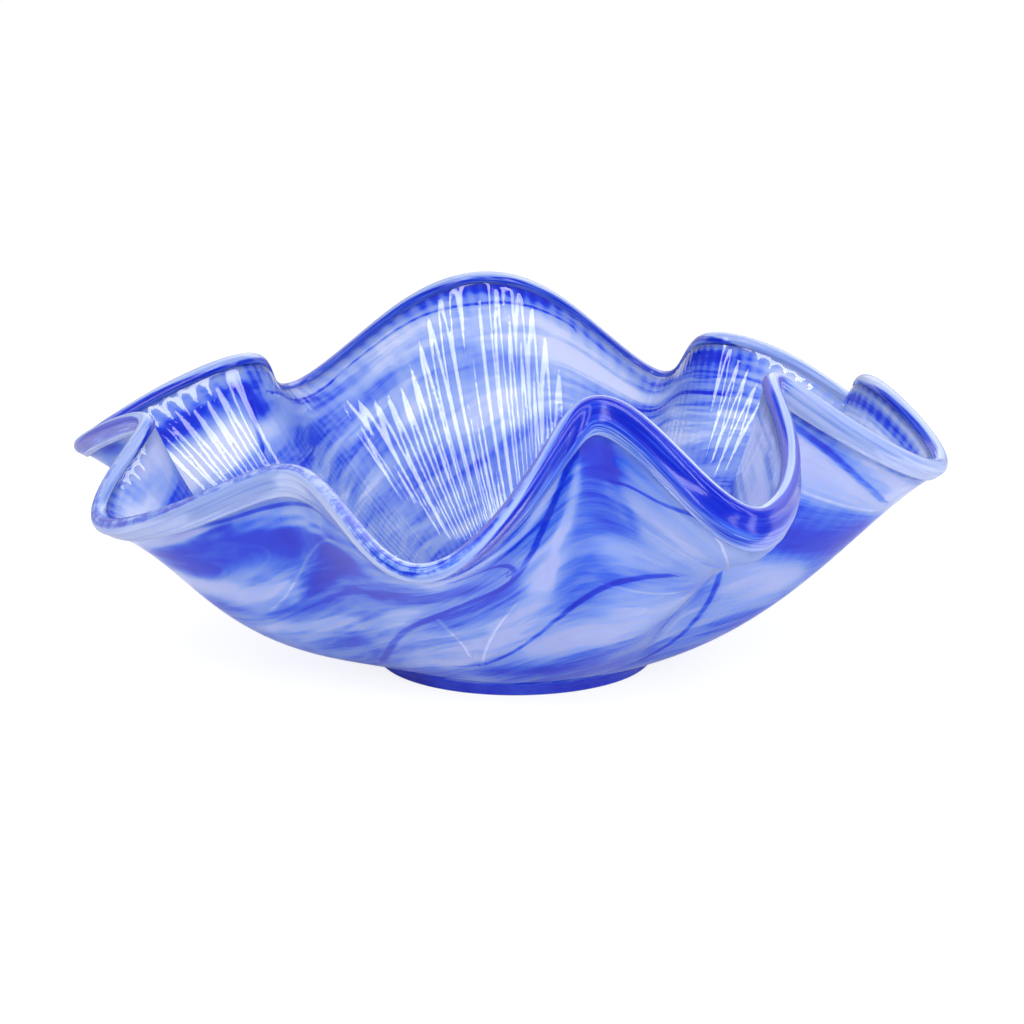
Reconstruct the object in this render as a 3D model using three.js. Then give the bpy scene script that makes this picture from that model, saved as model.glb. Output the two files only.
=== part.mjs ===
// Free-blown cased art glass bowl with a ruffled rim, in millimetres, +Z up.
// The origin is the middle of the ground face that the bowl stands on, and -Y is the front.
//
// The wall is one curved surface, here called the mid-surface, and three layers of glass lie along it:
// a clear inner lining, a cobalt and white colour layer, and a clear outer casing. A thick bead of clear
// glass closes their edges all round the rim, and a disc of glass with a ground face is the foot.
// The layers are fused in the real bowl. Here each one is a solid of its own, with a small gap between.
import * as THREE from "three";

// ---- Driving dimensions -------------------------------------------------------------------------

const GAP = 0.3; // between neighbouring solids
const LIP_GAP = 0.8; // between the lip and the ends of the layers
const LINING_THICKNESS = 2.1;
const COLOUR_THICKNESS = 1.2;
const CASING_THICKNESS = 2.1;

const FOOT_RADIUS = 66; // where the floor ends and the wall starts
const FLOOR_HEIGHT = 6.7; // of the mid-surface, in the middle of the floor
const FOOT_HEIGHT = 9; // of the mid-surface, where the wall starts
const FOOT_EDGE_RADIUS = 64.5; // of the foot disc
const FOOT_EDGE_ROUNDING = 2; // of the foot disc's lower edge

const LIP_RADIUS = 4; // of the round bead along the rim
const LIP_CENTRE = 1.8; // from the ends of the layers to the middle of the bead

// The rim, once round anticlockwise from the front left: azimuth in degrees, radius and height.
// Low lobes that flare outwards take turns with high pinches that are drawn inwards, and every second
// row is the flank between the two.
const RIM = [
  [-163, 195, 79], // lobe, front left
  [-149, 174, 94],
  [-131, 149, 118], // pinch
  [-114, 170, 104],
  [-101, 190, 90], // lobe, front
  [-89, 166, 120],
  [-77.5, 141, 154], // pinch
  [-68, 164, 140],
  [-59, 190, 114], // lobe, front right
  [-47, 169, 133],
  [-39, 143, 153], // pinch
  [-26, 166, 127],
  [-13, 195, 102], // lobe, right
  [-4, 190, 112],
  [6, 170, 129], // pinch
  [17, 176, 118],
  [26, 190, 103], // lobe, back right
  [37, 171, 124],
  [47.5, 148, 134], // pinch
  [57, 166, 118],
  [67, 187, 101], // lobe, back
  [81, 166, 140],
  [96, 150, 158], // pinch, the tallest
  [111, 166, 140],
  [125, 188, 101], // lobe, back
  [138, 168, 111],
  [150, 150, 130], // pinch
  [162, 180, 117],
  [172, 208, 97], // lobe, left
  [179, 192, 110],
  [185, 170, 118], // pinch
  [190, 186, 97],
];

// How the wall reaches each lobe and each pinch, in the same order as the rim's lobes and pinches:
// how far the shoulder lies inside the rim and below it, the waist's radius and height, and how far
// the lip rolls out and down just below the rim.
const FLARE = [
  [42, 12, 150, 27, 0], // lobe, front left
  [10, 36, 124, 38, 0],
  [42, 3, 132, 56, 0], // lobe, front
  [10, 45, 114, 48, 7],
  [30, 30, 132, 56, 13], // lobe, front right
  [12, 42, 116, 44, 0],
  [34, 16, 141, 42, 0], // lobe, right
  [15, 34, 132, 42, 0],
  [40, 12, 135, 45, 0], // lobe, back right
  [12, 40, 118, 45, 0],
  [40, 8, 135, 45, 0], // lobe, back
  [12, 45, 118, 45, 0],
  [40, 8, 135, 45, 0], // lobe, back
  [12, 40, 118, 45, 0],
  [42, 14, 145, 30, 0], // lobe, left
  [15, 38, 130, 32, 0],
];

// The lower wall leaves the foot towards the waist, and sags a little below that straight line.
const LOWER_WALL_SHARE = 0.42; // of the way from the foot to the waist
const LOWER_WALL_SAG = 6.5;

// The floor is flat in the middle, rises with the first power of the way out, and turns up with the second.
const FLOOR_RISE_POWER = 4;
const TURN_UP_POWER = 6;

// How much of the rim's uneven spacing round the bowl reaches the foot, lower wall, waist, shoulder and rim.
const DRIFT = [0, 0.3, 0.7, 1, 1];

// The roll is a bump along the wall that rises slowly from the foot and falls quickly to the rim.
const ROLL_RISE = 16;
const ROLL_FALL = 2;

const COLUMNS = 80; // of the mesh, round the bowl
const FLOOR_ROWS = [0.45, 0.75, 0.9, 0.96, 1]; // as shares of the foot radius
const WALL_ROWS = 7;
const LIP_SIDES = 7;

// Where the colour layer's and the clear layers' nearer faces lie, from the mid-surface.
const colourSide = COLOUR_THICKNESS / 2;
const clearSide = colourSide + GAP;

// ---- Curves ---------------------------------------------------------------------------------------

// The control values of a closed uniform cubic B-spline that passes through the given values.
function splineControls(values) {
  const count = values.length;
  const refinements = 60;
  let controls = [...values];
  for (let pass = 0; pass < refinements; pass++)
    controls = controls.map((control, i) => {
      const before = controls[(i + count - 1) % count];
      const after = controls[(i + 1) % count];
      return control + values[i] - (before + 4 * control + after) / 6;
    });
  return controls;
}

// The B-spline's value at turn, which is 0 at the first value and 1 after once round.
function splineAt(controls, turn) {
  const count = controls.length;
  const place = (turn - Math.floor(turn)) * count;
  const start = Math.floor(place);
  const f = place - start;
  const weights = [
    (1 - f) ** 3 / 6,
    (3 * f ** 3 - 6 * f ** 2 + 4) / 6,
    (-3 * f ** 3 + 3 * f ** 2 + 3 * f + 1) / 6,
    f ** 3 / 6,
  ];
  return weights.reduce(
    (sum, weight, k) => sum + weight * controls[(start - 1 + k + count) % count],
    0,
  );
}

const column = (table, index) => splineControls(table.map((row) => row[index]));
const startAzimuth = RIM[0][0];
const rimRadius = column(RIM, 1);
const rimHeight = column(RIM, 2);
const shoulderIn = column(FLARE, 0);
const shoulderDrop = column(FLARE, 1);
const waistRadius = column(FLARE, 2);
const waistHeight = column(FLARE, 3);
const rollSize = column(FLARE, 4);

// How far round each rim point lies from an even spacing, in degrees.
const azimuthDrift = splineControls(
  RIM.map(([azimuth], i) => azimuth - startAzimuth - (i * 360) / RIM.length),
);

// ---- The mid-surface --------------------------------------------------------------------------------

// The control rings of the wall at one turn, each a radius, a height and an azimuth in radians.
function wallRings(turn) {
  const foot = [FOOT_RADIUS, FOOT_HEIGHT];
  const waist = [splineAt(waistRadius, turn), splineAt(waistHeight, turn)];
  const lower = [
    foot[0] + LOWER_WALL_SHARE * (waist[0] - foot[0]),
    foot[1] + LOWER_WALL_SHARE * (waist[1] - foot[1]) - LOWER_WALL_SAG,
  ];
  const rim = [splineAt(rimRadius, turn), splineAt(rimHeight, turn)];
  const shoulder = [
    rim[0] - splineAt(shoulderIn, turn),
    rim[1] - splineAt(shoulderDrop, turn),
  ];
  const even = startAzimuth + 360 * turn;
  const drift = splineAt(azimuthDrift, turn);
  return [foot, lower, waist, shoulder, rim].map(([radius, height], k) => ({
    radius,
    height,
    azimuth: THREE.MathUtils.degToRad(even + drift * DRIFT[k]),
  }));
}

function polar({ radius, height, azimuth }) {
  return new THREE.Vector3(
    radius * Math.cos(azimuth),
    radius * Math.sin(azimuth),
    height,
  );
}

// A point of the wall: climb runs from 0 at the foot to 1 at the rim, along a Bezier curve.
function wallPoint(turn, climb) {
  const rings = wallRings(turn);
  const binomials = [1, 4, 6, 4, 1];
  const point = new THREE.Vector3();
  rings.forEach((ring, k) => {
    const weight = binomials[k] * climb ** k * (1 - climb) ** (4 - k);
    point.addScaledVector(polar(ring), weight);
  });
  const peak = ROLL_RISE / (ROLL_RISE + ROLL_FALL);
  const bump = (climb / peak) ** ROLL_RISE * ((1 - climb) / (1 - peak)) ** ROLL_FALL;
  const roll = splineAt(rollSize, turn) * bump * Math.SQRT1_2;
  const { azimuth } = rings[4];
  return point.add(polar({ radius: roll, height: -roll, azimuth }));
}

// A point of the floor: reach runs from 0 in the middle to 1 at the foot, where it meets the wall's slope.
function floorPoint(turn, reach) {
  const [foot, lower] = wallRings(turn);
  const slope = (lower.height - foot.height) / (lower.radius - foot.radius);
  const rise = FOOT_HEIGHT - FLOOR_HEIGHT;
  const turnUp = slope * FOOT_RADIUS - FLOOR_RISE_POWER * rise;
  const height =
    FLOOR_HEIGHT +
    rise * reach ** FLOOR_RISE_POWER +
    turnUp * (reach - 1) * reach ** TURN_UP_POWER;
  return polar({ radius: FOOT_RADIUS * reach, height, azimuth: foot.azimuth });
}

// The mid-surface from the middle of the floor, at -1, past the foot, at 0, to the rim, at 1.
const middle = (turn, along) =>
  along < 0 ? floorPoint(turn, 1 + along) : wallPoint(turn, along);

// The directions at a point of the mid-surface: out of the bowl's outside, and up the wall, square to
// the way round.
function directionsAt(turn, along) {
  if (along <= -1)
    return {
      out: new THREE.Vector3(0, 0, -1),
      up: new THREE.Vector3(1, 0, 0),
    };
  const step = 1e-4;
  const round = middle(turn + step, along).sub(middle(turn - step, along));
  const climb = middle(turn, along + step).sub(middle(turn, along - step));
  const out = round.clone().cross(climb).normalize();
  const up = out.clone().cross(round).normalize();
  return { out, up };
}

// The mid-surface moved outwards by the given distance.
function offsetPoint(turn, along, distance) {
  const { out } = directionsAt(turn, along);
  return middle(turn, along).addScaledVector(out, distance);
}

// Where the layers end below the rim, to leave room for the lip.
function layerEnd(turn) {
  const rings = wallRings(turn);
  const lastStretch = polar(rings[4]).distanceTo(polar(rings[3]));
  return 1 - (LIP_GAP + LIP_CENTRE + LIP_RADIUS) / (4 * lastStretch);
}

// ---- Meshes -----------------------------------------------------------------------------------------

const turnOf = (i) => i / COLUMNS;

// A closed mesh from rings of points: each ring goes once round, and neighbouring rings are joined.
// A ring of one point closes the mesh there, and a looped mesh joins its last ring to its first.
// From the ring called mirroredFrom on, the squares are split along their other diagonal, so that the
// two sides of a layer are split alike and neighbouring layers stay parallel.
function meshFromRings(rings, { looped = false, mirroredFrom = Infinity } = {}) {
  const starts = rings.map((_, r) => rings.slice(0, r).flat().length);
  const at = (r, i) => starts[r] + (rings[r].length === 1 ? 0 : i % COLUMNS);
  const splits = [
    [0, 1, 2],
    [0, 2, 3],
  ];
  const mirroredSplits = [
    [0, 1, 3],
    [1, 2, 3],
  ];
  const index = [];
  const pairs = looped ? rings.length : rings.length - 1;
  for (let r = 0; r < pairs; r++) {
    const next = (r + 1) % rings.length;
    for (let i = 0; i < COLUMNS; i++) {
      const corners = [at(r, i), at(r, i + 1), at(next, i + 1), at(next, i)];
      for (const split of r < mirroredFrom ? splits : mirroredSplits) {
        const triangle = split.map((k) => corners[k]);
        if (new Set(triangle).size === 3) index.push(...triangle);
      }
    }
  }
  return new THREE.BufferGeometry().setFromPoints(rings.flat()).setIndex(index);
}

// One ring of points, the same function of turn at every column.
function ringOf(pointAt) {
  return Array.from({ length: COLUMNS }, (_, i) => pointAt(turnOf(i)));
}

// A layer of glass between two distances from the mid-surface.
function layerGeometry(inner, outer) {
  const floorRows = FLOOR_ROWS.map((reach) => () => reach - 1);
  const wallRows = Array.from(
    { length: WALL_ROWS },
    (_, k) => (turn) => (layerEnd(turn) * (k + 1)) / WALL_ROWS,
  );
  const rows = [...floorRows, ...wallRows];
  const side = (distance) =>
    rows.map((along) => ringOf((turn) => offsetPoint(turn, along(turn), distance)));
  const pole = (distance) => [offsetPoint(0, -1, distance)];
  const rings = [pole(outer), ...side(outer), ...side(inner).reverse(), pole(inner)];
  return meshFromRings(rings, { mirroredFrom: rows.length });
}

// The bead along the rim: a round section with a flat side on the ends of the layers.
function lipGeometry() {
  const flatAngle = Math.asin(LIP_CENTRE / LIP_RADIUS);
  const arc = Math.PI + 2 * flatAngle;
  const rings = Array.from({ length: LIP_SIDES + 1 }, (_, k) => {
    const angle = (arc * k) / LIP_SIDES - flatAngle;
    return ringOf((turn) => {
      const end = layerEnd(turn);
      const { out, up } = directionsAt(turn, end);
      return middle(turn, end)
        .addScaledVector(out, LIP_RADIUS * Math.cos(angle))
        .addScaledVector(up, LIP_GAP + LIP_CENTRE + LIP_RADIUS * Math.sin(angle));
    });
  });
  return meshFromRings(rings, { looped: true });
}

// The foot disc: flat and ground below, and shaped to the underside of the casing above.
function footGeometry() {
  const top = clearSide + CASING_THICKNESS + GAP;
  const topRows = FLOOR_ROWS.slice(0, -1).map((reach) =>
    ringOf((turn) => offsetPoint(turn, reach - 1, top)),
  );
  const circle = (radius, height) =>
    ringOf((turn) => {
      const azimuth = THREE.MathUtils.degToRad(startAzimuth + 360 * turn);
      return polar({ radius, height, azimuth });
    });
  return meshFromRings([
    [new THREE.Vector3()],
    circle(FOOT_EDGE_RADIUS - FOOT_EDGE_ROUNDING, 0),
    circle(FOOT_EDGE_RADIUS, FOOT_EDGE_ROUNDING),
    ...topRows.reverse(),
    [offsetPoint(0, -1, top)],
  ]);
}

// ---- The bowl ---------------------------------------------------------------------------------------

const bowl = new THREE.Group();

const CLEAR_GLASS = { color: 0xdfe4f8, roughness: 0.03 };
const COLOUR_GLASS = { color: 0x3c50e0, roughness: 0.15 };
const LIP_GLASS = { color: 0xb8c0ea, roughness: 0.05 };
const FOOT_GLASS = { color: 0x4a5fd0, roughness: 0.1 };

function addPiece(name, geometry, glass) {
  const material = new THREE.MeshStandardMaterial({ ...glass, metalness: 0 });
  const mesh = new THREE.Mesh(geometry, material);
  mesh.name = name;
  bowl.add(mesh);
}

addPiece("foot_disc", footGeometry(), FOOT_GLASS);
addPiece("outer_casing", layerGeometry(clearSide, clearSide + CASING_THICKNESS), CLEAR_GLASS);
addPiece("colour_layer", layerGeometry(-colourSide, colourSide), COLOUR_GLASS);
addPiece("inner_lining", layerGeometry(-clearSide - LINING_THICKNESS, -clearSide), CLEAR_GLASS);
addPiece("lip_wrap", lipGeometry(), LIP_GLASS);

export default bowl;
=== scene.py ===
import math

import bpy
import numpy as np
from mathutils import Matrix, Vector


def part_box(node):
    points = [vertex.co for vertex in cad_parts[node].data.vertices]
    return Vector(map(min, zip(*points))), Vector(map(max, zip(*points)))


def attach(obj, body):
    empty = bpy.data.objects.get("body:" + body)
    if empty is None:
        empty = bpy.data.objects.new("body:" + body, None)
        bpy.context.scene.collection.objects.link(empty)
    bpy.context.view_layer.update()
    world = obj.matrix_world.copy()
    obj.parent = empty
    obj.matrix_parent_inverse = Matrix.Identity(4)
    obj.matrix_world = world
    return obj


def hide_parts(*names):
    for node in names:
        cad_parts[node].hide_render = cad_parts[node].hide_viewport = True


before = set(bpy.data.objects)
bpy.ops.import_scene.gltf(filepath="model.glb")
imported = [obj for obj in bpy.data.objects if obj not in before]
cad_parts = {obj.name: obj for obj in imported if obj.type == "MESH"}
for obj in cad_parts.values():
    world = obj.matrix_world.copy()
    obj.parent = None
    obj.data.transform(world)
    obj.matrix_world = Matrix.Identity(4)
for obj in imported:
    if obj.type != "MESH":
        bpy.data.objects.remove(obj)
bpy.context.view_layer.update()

MM = 0.001

# ---- The bowl's driving dimensions, in millimetres, as in the solids ----

LINING_FACE = -3.0  # from the mid-surface to the inside of the bowl
CASING_FACE = 3.0
COLOUR_FACE = 0.6

FOOT_RADIUS = 66.0  # where the floor turns up into the wall
FLOOR_HEIGHT = 6.7
FOOT_HEIGHT = 9.0
FOOT_TOP = 3.3  # from the mid-surface to the top of the foot disc

LIP_GAP = 0.8  # between the ends of the layers and the lip
LIP_CENTRE = 1.8  # from the lip's underside to the centre of its bead
LIP_RADIUS = 4.0

# The rim, once round anticlockwise from the front left: azimuth in degrees, radius and height.
RIM = [
    [-163, 195, 79], [-149, 174, 94], [-131, 149, 118], [-114, 170, 104],
    [-101, 190, 90], [-89, 166, 120], [-77.5, 141, 154], [-68, 164, 140],
    [-59, 190, 114], [-47, 169, 133], [-39, 143, 153], [-26, 166, 127],
    [-13, 195, 102], [-4, 190, 112], [6, 170, 129], [17, 176, 118],
    [26, 190, 103], [37, 171, 124], [47.5, 148, 134], [57, 166, 118],
    [67, 187, 101], [81, 166, 140], [96, 150, 158], [111, 166, 140],
    [125, 188, 101], [138, 168, 111], [150, 150, 130], [162, 180, 117],
    [172, 208, 97], [179, 192, 110], [185, 170, 118], [190, 186, 97],
]

# How the wall reaches each lobe and pinch in turn: how far the shoulder lies inside the rim and below
# it, the waist's radius and height, and how far the lip rolls out and down just below the rim.
FLARE = [
    [42, 12, 150, 27, 0], [10, 36, 124, 38, 0], [42, 3, 132, 56, 0], [10, 45, 114, 48, 7],
    [30, 30, 132, 56, 13], [12, 42, 116, 44, 0], [34, 16, 141, 42, 0], [15, 34, 132, 42, 0],
    [40, 12, 135, 45, 0], [12, 40, 118, 45, 0], [40, 8, 135, 45, 0], [12, 45, 118, 45, 0],
    [40, 8, 135, 45, 0], [12, 40, 118, 45, 0], [42, 14, 145, 30, 0], [15, 38, 130, 32, 0],
]

LOWER_WALL_SHARE = 0.42  # of the way from the foot to the waist
LOWER_WALL_SAG = 6.5
DRIFT = [0, 0.3, 0.7, 1, 1]  # how far each ring follows the rim's uneven azimuths
ROLL_RISE = 16  # powers that put the roll's bulge just below the rim
ROLL_FALL = 2

# ---- The mid-surface ----

SPLINE_PASSES = 60  # far more than the control values need to settle


def spline_controls(values):
    """The control values of a closed uniform cubic B-spline through the given values."""
    values = np.array(values, float)
    controls = values.copy()
    for _ in range(SPLINE_PASSES):
        neighbours = np.roll(controls, 1) + 4 * controls + np.roll(controls, -1)
        controls = controls + values - neighbours / 6
    return controls


def spline_at(controls, turn):
    """The B-spline's value at turn, which is 0 at the first value and 1 after once round."""
    count = len(controls)
    place = (turn % 1.0) * count
    start = np.floor(place).astype(int)
    past = place - start
    weights = [
        (1 - past) ** 3 / 6,
        (3 * past**3 - 6 * past**2 + 4) / 6,
        (-3 * past**3 + 3 * past**2 + 3 * past + 1) / 6,
        past**3 / 6,
    ]
    return sum(weight * controls[(start - 1 + k) % count] for k, weight in enumerate(weights))


def columns_of(table):
    """A spline round the bowl for each column of a table."""
    return [spline_controls(column) for column in zip(*table)]


START = RIM[0][0]
even_azimuths = [START + i * 360 / len(RIM) for i in range(len(RIM))]
azimuth_drift = spline_controls([row[0] - even for row, even in zip(RIM, even_azimuths)])
_, rim_radius, rim_height = columns_of(RIM)
*shoulder_and_waist, roll_size = columns_of(FLARE)


def wall_rings(turn):
    """The wall's control rings at the given turns: lists of radii, heights and azimuths in radians."""
    shoulder_in, shoulder_drop, waist_radius, waist_height = (
        spline_at(controls, turn) for controls in shoulder_and_waist
    )
    lower_radius = FOOT_RADIUS + LOWER_WALL_SHARE * (waist_radius - FOOT_RADIUS)
    lower_height = FOOT_HEIGHT + LOWER_WALL_SHARE * (waist_height - FOOT_HEIGHT) - LOWER_WALL_SAG
    radius = spline_at(rim_radius, turn)
    height = spline_at(rim_height, turn)
    full = np.ones_like(turn)
    radii = [FOOT_RADIUS * full, lower_radius, waist_radius, radius - shoulder_in, radius]
    heights = [FOOT_HEIGHT * full, lower_height, waist_height, height - shoulder_drop, height]
    even = START + 360 * turn
    drift = spline_at(azimuth_drift, turn)
    azimuths = [np.radians(even + drift * share) for share in DRIFT]
    return radii, heights, azimuths


def polar(radius, height, azimuth):
    return np.stack([radius * np.cos(azimuth), radius * np.sin(azimuth), height + 0 * radius], -1)


def wall_point(turn, climb):
    """Points of the wall: climb runs from 0 at the foot to 1 at the rim, along a Bezier curve."""
    radii, heights, azimuths = wall_rings(turn)
    point = 0
    for k, binomial in enumerate([1, 4, 6, 4, 1]):
        weight = binomial * climb**k * (1 - climb) ** (4 - k)
        point = point + weight[..., None] * polar(radii[k], heights[k], azimuths[k])
    peak = ROLL_RISE / (ROLL_RISE + ROLL_FALL)
    bulge = (climb / peak) ** ROLL_RISE * ((1 - climb) / (1 - peak)) ** ROLL_FALL
    roll = spline_at(roll_size, turn) * bulge * math.sqrt(0.5)
    return point + polar(roll, -roll, azimuths[4])


def floor_point(turn, reach):
    """Points of the floor: reach runs from 0 in the middle to 1 at the foot, where it meets the wall."""
    radii, heights, azimuths = wall_rings(turn)
    slope = (heights[1] - heights[0]) / (radii[1] - radii[0])
    rise = FOOT_HEIGHT - FLOOR_HEIGHT
    turn_up = slope * FOOT_RADIUS - 4 * rise
    height = FLOOR_HEIGHT + rise * reach**4 + turn_up * (reach**7 - reach**6)
    return polar(FOOT_RADIUS * reach, height, azimuths[0])


def middle(turn, along):
    """The mid-surface, of the floor and the wall together."""
    wall = wall_point(turn, np.maximum(along, 0))
    floor = floor_point(turn, 1 + np.minimum(along, 0))
    return np.where((along < 0)[..., None], floor, wall)


def unit(vectors):
    return vectors / np.maximum(np.linalg.norm(vectors, axis=-1, keepdims=True), 1e-12)


def directions_at(turn, along):
    """The way out of the bowl's outside, and the way up the wall square to the way round."""
    step = 1e-4
    along = np.maximum(along, -1 + 20 * step)  # in the very middle there is no way round
    way_round = middle(turn + step, along) - middle(turn - step, along)
    climb = middle(turn, along + step) - middle(turn, along - step)
    out = unit(np.cross(way_round, climb))
    up = unit(np.cross(out, way_round))
    return out, up


def offset_point(turn, along, distance):
    out, _ = directions_at(turn, along)
    return middle(turn, along) + out * distance[..., None]


def layer_end(turn):
    """Where the layers end below the rim, to leave room for the lip."""
    radii, heights, azimuths = wall_rings(turn)
    stretch = polar(radii[4], heights[4], azimuths[4]) - polar(radii[3], heights[3], azimuths[3])
    return 1 - (LIP_GAP + LIP_CENTRE + LIP_RADIUS) / (4 * np.linalg.norm(stretch, axis=-1))


# ---- Meshes ----


def ring_mesh(name, rings, looped=False):
    """A closed mesh from rings of points with the same count, or of one point where it closes."""
    columns = max(len(ring) for ring in rings)
    starts = np.cumsum([0] + [len(ring) for ring in rings])
    i = np.arange(columns)
    faces = []
    pairs = len(rings) if looped else len(rings) - 1
    for r in range(pairs):
        s = (r + 1) % len(rings)
        here = starts[r] + (i if len(rings[r]) > 1 else 0 * i)
        there = starts[s] + (i if len(rings[s]) > 1 else 0 * i)
        here_next, there_next = np.roll(here, -1), np.roll(there, -1)
        if len(rings[r]) == 1:
            corners = [here, there_next, there]
        elif len(rings[s]) == 1:
            corners = [here, here_next, there]
        else:
            corners = [here, here_next, there_next, there]
        faces.extend(np.stack(corners, -1).tolist())
    mesh = bpy.data.meshes.new(name)
    mesh.from_pydata((np.concatenate(rings) * MM).tolist(), [], faces)
    mesh.shade_smooth()
    piece = bpy.data.objects.new(name, mesh)
    bpy.context.collection.objects.link(piece)
    return piece


def add_attribute(piece, name, values):
    """Stores a number for each point of the piece, for its material."""
    attribute = piece.data.attributes.new(name, "FLOAT", "POINT")
    attribute.data.foreach_set("value", np.asarray(values, np.float32))


def add_vectors(piece, name, x, y, z):
    attribute = piece.data.attributes.new(name, "FLOAT_VECTOR", "POINT")
    attribute.data.foreach_set("vector", np.stack([x, y, z], -1).astype(np.float32).ravel())


def turns_round(columns):
    return np.arange(columns) / columns


def rows_along(floor_rows, wall_rows):
    """A pair for each ring: its along on the floor, and its share of the layer's end on the wall."""
    floor = [(reach - 1, 0) for reach in np.linspace(0, 1, floor_rows + 1)[1:]]
    wall = [(0, climb) for climb in np.linspace(0, 1, wall_rows + 1)[1:]]
    return floor + wall


def side_rings(columns, rows, distance):
    """The rings of one side of a layer, and their places. distance is a function of turn and along."""
    turn = turns_round(columns)
    end = layer_end(turn)
    places = [(np.zeros(1), -np.ones(1))]
    for floor, wall in rows_along(*rows):
        places.append((turn, floor + wall * end))
    rings = [offset_point(t, a, distance(t, a)) for t, a in places]
    rings[0][0, :2] = 0  # the first is the point in the middle of the floor
    return rings, places


def smooth_step(low, high, value):
    share = np.clip((value - low) / (high - low), 0, 1)
    return share * share * (3 - 2 * share)


# ---- The clear glass shell ----

RIBS = 200
RIB_HEIGHT = 0.32
RIB_SHARPNESS = 1.5  # above 1, the ribs are narrower than the grooves between them
RIB_WANDER = [(7, 1.0, 0.7), (17, 2.2, 0.5), (31, 0.0, 0.4)]  # waves round the bowl, phase, size
RIB_SWAY = 0.5  # how far the ribs sway as they climb; a whole rib is 2 pi
RIB_UNEVEN = 0.25  # how much the height of the ribs varies
RIBS_START = -0.75  # along the floor
RIBS_FADE_IN = 0.5
RIBS_FADE_OUT = 0.02  # before the end of the lining

SHELL_COLUMNS = 960
CASING_ROWS = (8, 28)  # on the floor and on the wall
LINING_ROWS = (12, 48)
SHELL_EDGE = 2.0  # how far the fused edge rounds out past the end of the layers
SHELL_EDGE_ANGLES = [25, 50, 75, 105, 130, 155]


def rib_height(turn, along):
    """How far the optic ribs inside the bowl stand out of its lining, irregular from rib to rib."""
    angle = 2 * np.pi * turn
    wander = sum(size * np.sin(waves * angle + phase) for waves, phase, size in RIB_WANDER)
    sway = RIB_SWAY * np.sin(5 * along + 3 * angle)
    profile = ((1 + np.sin(RIBS * angle + wander + sway)) / 2) ** RIB_SHARPNESS
    strength = 1 - RIB_UNEVEN * (1 - np.sin(23 * angle + 0.7) * np.sin(9 * angle))
    start = np.clip((along - RIBS_START) / RIBS_FADE_IN, 0, 1)
    end = np.clip((layer_end(turn) - along) / RIBS_FADE_OUT, 0, 1)
    return RIB_HEIGHT * profile * strength * start * end


def shell_edge():
    """The rounded edge that joins the casing to the lining, inside the lip."""
    turn = turns_round(SHELL_COLUMNS)
    end = layer_end(turn)
    out, up = directions_at(turn, end)
    rings = []
    for angle in np.radians(SHELL_EDGE_ANGLES):
        across = CASING_FACE * math.cos(angle)
        rings.append(middle(turn, end) + out * across + up * SHELL_EDGE * math.sin(angle))
    return rings


def glass_shell():
    """The casing and the lining, fused into one body of clear glass round the colour."""
    outer, _ = side_rings(SHELL_COLUMNS, CASING_ROWS, lambda t, a: CASING_FACE + 0 * t)
    inner, _ = side_rings(SHELL_COLUMNS, LINING_ROWS, lambda t, a: LINING_FACE - rib_height(t, a))
    piece = ring_mesh("glass_shell", outer + shell_edge() + inner[::-1])
    inside = np.zeros(len(piece.data.vertices))
    inside[-sum(len(ring) for ring in inner) :] = 1
    add_attribute(piece, "inside", inside)
    return piece


# ---- The colour's pattern ----

WALL_LENGTH = 190.0  # roughly, from the foot to the rim

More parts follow.
